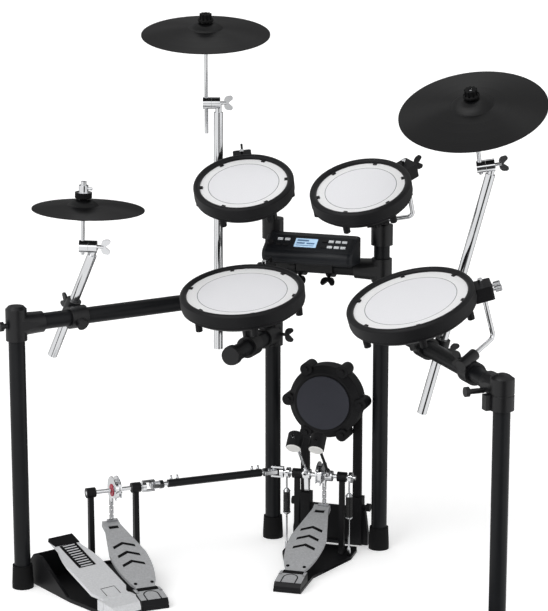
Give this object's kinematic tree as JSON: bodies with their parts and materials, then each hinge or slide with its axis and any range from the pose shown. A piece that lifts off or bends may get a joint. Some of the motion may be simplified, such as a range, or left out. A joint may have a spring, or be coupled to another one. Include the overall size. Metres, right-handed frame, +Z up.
{
  "type": "electronic drum kit",
  "caption": "Electronic drum kit: mesh pads, rubber cymbals and a sound module on a folding pipe rack, with a kick pad, a double bass pedal and a hi-hat pedal.",
  "frame": {"origin": "on the floor at the centre of the kit's bounding box", "axes": "+X to the player's right, +Y away from the player, +Z up"},
  "size_m": [1.186, 0.7702, 1.3055],
  "materials": {
    "black_pipe": "black powder coat",
    "moulded_joint": "moulded black nylon",
    "foot_rubber": "matte",
    "chrome_steel": "polished",
    "cymbal_rubber": "matte",
    "hoop_rubber": "matte",
    "mesh_weave": "woven mesh",
    "shell_plastic": "satin",
    "module_plastic": "fine grain",
    "display": "gloss",
    "key_plastic": "satin",
    "kick_rubber": "matte",
    "black_steel": "black powder coat",
    "cast_alloy": "textured silver",
    "link_steel": "nickel",
    "beater_felt": "matte"
  },
  "bodies": {
    "rack": {"center_tubes": "black_pipe", "center_clamps": "moulded_joint", "center_feet": "foot_rubber", "kick_pad_housing": "shell_plastic", "kick_pad_face": "kick_rubber", "kick_stand": "black_steel", "pedal_base_plates": "black_steel", "pedal_posts": "black_steel", "heel_plates": "cast_alloy", "hihat_pedal_base": "black_steel", "return_springs": "link_steel"},
    "left_wing": {"left_tubes": "black_pipe", "left_clamps": "moulded_joint", "left_foot": "foot_rubber"},
    "right_wing": {"right_tubes": "black_pipe", "right_clamps": "moulded_joint", "right_foot": "foot_rubber"},
    "hihat_stand": {"hihat_boom": "chrome_steel"},
    "hihat_arm": {"hihat_rod": "chrome_steel"},
    "hihat_plate": {"hihat_cymbal": "cymbal_rubber"},
    "crash_stand": {"crash_boom": "chrome_steel"},
    "crash_arm": {"crash_rod": "chrome_steel"},
    "crash_plate": {"crash_cymbal": "cymbal_rubber"},
    "ride_stand": {"ride_boom": "chrome_steel"},
    "ride_arm": {"ride_rod": "chrome_steel"},
    "ride_plate": {"ride_cymbal": "cymbal_rubber"},
    "snare_pad": {"snare_shell": "shell_plastic", "snare_hoop": "hoop_rubber", "snare_head": "mesh_weave", "snare_rod": "chrome_steel"},
    "tom_1_pad": {"tom_1_shell": "shell_plastic", "tom_1_hoop": "hoop_rubber", "tom_1_head": "mesh_weave", "tom_1_rod": "chrome_steel"},
    "tom_2_pad": {"tom_2_shell": "shell_plastic", "tom_2_hoop": "hoop_rubber", "tom_2_head": "mesh_weave", "tom_2_rod": "chrome_steel"},
    "floor_tom_pad": {"floor_tom_shell": "shell_plastic", "floor_tom_hoop": "hoop_rubber", "floor_tom_head": "mesh_weave", "floor_tom_rod": "chrome_steel"},
    "module": {"module_case": "module_plastic", "module_screen": "display", "module_bracket": "moulded_joint"},
    "module_key_set": {"module_keys": "key_plastic"},
    "module_dial": {"module_knob": "module_plastic"},
    "hihat_board": {"hihat_footboard": "cast_alloy"},
    "kick_board": {"kick_footboard": "cast_alloy"},
    "kick_shaft": {"kick_axle": "chrome_steel", "right_beater": "beater_felt"},
    "kick_chain_run": {"kick_chain": "link_steel"},
    "slave_board": {"slave_footboard": "cast_alloy"},
    "slave_shaft": {"slave_axle": "chrome_steel"},
    "slave_chain_run": {"slave_chain": "link_steel"},
    "drive": {"drive_shaft": "black_steel"},
    "left_beater_arm": {"left_beater_axle": "chrome_steel", "left_beater": "beater_felt"},
    "right_spring_top": {"right_spring_hook": "link_steel"},
    "left_spring_top": {"left_spring_hook": "link_steel"}
  },
  "joints": [
    {"name": "left_wing_fold", "type": "hinge", "parent": "rack", "child": "left_wing", "pos_m": [-0.12727, 0.28943, 0], "axis": [0, 0, -1], "range_deg": [0, 25]},
    {"name": "right_wing_fold", "type": "hinge", "parent": "rack", "child": "right_wing", "pos_m": [0.14733, 0.28943, 0], "axis": [0, 0, 1], "range_deg": [0, 25]},
    {"name": "hihat_height", "type": "slide", "parent": "left_wing", "child": "hihat_stand", "axis": [0.4297, -0.1252, 0.8943], "range_m": [-0.03, 0.04]},
    {"name": "hihat_tilt", "type": "hinge", "parent": "hihat_stand", "child": "hihat_arm", "pos_m": [-0.42517, -0.13898, 0.79602], "axis": [0.9447, 0.3259, -0.0365], "range_deg": [-20, 20]},
    {"name": "hihat_swing", "type": "hinge", "parent": "hihat_arm", "child": "hihat_plate", "pos_m": [-0.43337, -0.14363, 0.89842], "axis": [0.9447, 0.3259, -0.0365], "range_deg": [-12, 12], "stiffness_Nm_per_rad": 8},
    {"name": "crash_height", "type": "slide", "parent": "left_wing", "child": "crash_stand", "axis": [0.0055, 0.0028, 1], "range_m": [-0.04, 0.08]},
    {"name": "crash_tilt", "type": "hinge", "parent": "crash_stand", "child": "crash_arm", "pos_m": [-0.26057, 0.2286, 1.08738], "axis": [0.9452, 0.3265, -0.0049], "range_deg": [-20, 20]},
    {"name": "crash_swing", "type": "hinge", "parent": "crash_arm", "child": "crash_plate", "pos_m": [-0.25944, 0.1883, 1.27555], "axis": [0.9452, 0.3265, -0.0049], "range_deg": [-12, 12], "stiffness_Nm_per_rad": 8},
    {"name": "ride_height", "type": "slide", "parent": "right_wing", "child": "ride_stand", "axis": [0.2584, -0.0126, 0.966], "range_m": [-0.05, 0.06]},
    {"name": "ride_tilt", "type": "hinge", "parent": "ride_stand", "child": "ride_arm", "pos_m": [0.44266, 0.09759, 0.99102], "axis": [0.9543, 0.2607, 0.1464], "range_deg": [-20, 20]},
    {"name": "ride_swing", "type": "hinge", "parent": "ride_arm", "child": "ride_plate", "pos_m": [0.42643, 0.0199, 1.14641], "axis": [0.9543, 0.2607, 0.1464], "range_deg": [-12, 12], "stiffness_Nm_per_rad": 8},
    {"name": "snare_tilt", "type": "hinge", "parent": "rack", "child": "snare_pad", "pos_m": [-0.16048, 0.13178, 0.58069], "axis": [0.9891, 0.1412, 0.0409], "range_deg": [-5, 8]},
    {"name": "tom_1_tilt", "type": "hinge", "parent": "rack", "child": "tom_1_pad", "pos_m": [-0.10194, 0.24032, 0.86105], "axis": [0.9048, -0.3659, -0.218], "range_deg": [-5, 10]},
    {"name": "tom_2_tilt", "type": "hinge", "parent": "rack", "child": "tom_2_pad", "pos_m": [0.12345, 0.26522, 0.81512], "axis": [0.9578, 0.2403, 0.1575], "range_deg": [-5, 10]},
    {"name": "floor_tom_tilt", "type": "hinge", "parent": "right_wing", "child": "floor_tom_pad", "pos_m": [0.45621, -0.13846, 0.58938], "axis": [-0.36, -0.8662, -0.3465], "range_deg": [-6, 6]},
    {"name": "module_tilt", "type": "hinge", "parent": "rack", "child": "module", "pos_m": [0.01002, 0.28943, 0.697], "axis": [1, 0, 0], "range_deg": [0, 12]},
    {"name": "module_keys_press", "type": "slide", "parent": "module", "child": "module_key_set", "axis": [0, 0.5792, -0.8152], "range_m": [0, 0.0012], "stiffness_N_per_m": 600, "springref_m": -0.001},
    {"name": "volume_turn", "type": "hinge", "parent": "module", "child": "module_dial", "pos_m": [-0.10397, 0.20673, 0.76145], "axis": [0, -0.5792, 0.8152], "range_deg": [-140, 140]},
    {"name": "hihat_press", "type": "hinge", "parent": "rack", "child": "hihat_board", "pos_m": [-0.28997, -0.32757, 0.03], "axis": [-0.5592, -0.829, 0], "range_deg": [0, 6], "stiffness_Nm_per_rad": 14, "springref_deg": -17.19},
    {"name": "kick_press", "type": "hinge", "parent": "rack", "child": "kick_board", "pos_m": [0.03438, -0.03324, 0.027], "axis": [-0.9986, -0.0523, 0], "range_deg": [0, 4.69], "stiffness_Nm_per_rad": 60, "springref_deg": -6.88},
    {"name": "kick_axle_turn", "type": "hinge", "parent": "rack", "child": "kick_shaft", "pos_m": [0.02202, 0.20243, 0.199], "axis": [-0.9986, -0.0523, 0], "range_deg": [0, 45.01]},
    {"name": "kick_chain_pull", "type": "slide", "parent": "rack", "child": "kick_chain_run", "axis": [-0.0139, 0.2658, -0.9639], "range_m": [0, 0.02279]},
    {"name": "slave_press", "type": "hinge", "parent": "rack", "child": "slave_board", "pos_m": [-0.2456, -0.24932, 0.027], "axis": [-0.749, -0.6626, 0], "range_deg": [0, 4.69], "stiffness_Nm_per_rad": 60, "springref_deg": -6.88},
    {"name": "slave_axle_turn", "type": "hinge", "parent": "rack", "child": "slave_shaft", "pos_m": [-0.40198, -0.07257, 0.199], "axis": [-0.749, -0.6626, 0], "range_deg": [0, 45.01]},
    {"name": "slave_chain_pull", "type": "slide", "parent": "rack", "child": "slave_chain_run", "axis": [-0.1764, 0.1994, -0.9639], "range_m": [0, 0.02279]},
    {"name": "drive_shaft_turn", "type": "hinge", "parent": "rack", "child": "drive", "pos_m": [-0.32858, -0.00763, 0.199], "axis": [-0.7548, -0.6559, 0], "range_deg": [0, 45.01]},
    {"name": "left_beater_turn", "type": "hinge", "parent": "rack", "child": "left_beater_arm", "pos_m": [0.02202, 0.20243, 0.199], "axis": [-0.9986, -0.0523, 0], "range_deg": [0, 45.01]},
    {"name": "right_spring_pull", "type": "slide", "parent": "rack", "child": "right_spring_top", "axis": [0, 0, 1], "range_m": [0, 0.01001], "deforming": ["return_springs"]},
    {"name": "left_spring_pull", "type": "slide", "parent": "rack", "child": "left_spring_top", "axis": [0, 0, 1], "range_m": [0, 0.01001]}
  ],
  "couplings": [
    {"joint": "kick_axle_turn", "follows": "kick_press", "ratio": 9.5938},
    {"joint": "kick_chain_pull", "follows": "kick_press", "m_per_rad": 0.27822},
    {"joint": "slave_axle_turn", "follows": "slave_press", "ratio": 9.5938},
    {"joint": "slave_chain_pull", "follows": "slave_press", "m_per_rad": 0.27822},
    {"joint": "drive_shaft_turn", "follows": "slave_press", "ratio": 9.5938},
    {"joint": "left_beater_turn", "follows": "slave_press", "ratio": 9.5938},
    {"joint": "right_spring_pull", "follows": "kick_press", "m_per_rad": 0.12215},
    {"joint": "left_spring_pull", "follows": "slave_press", "m_per_rad": 0.12215}
  ]
}
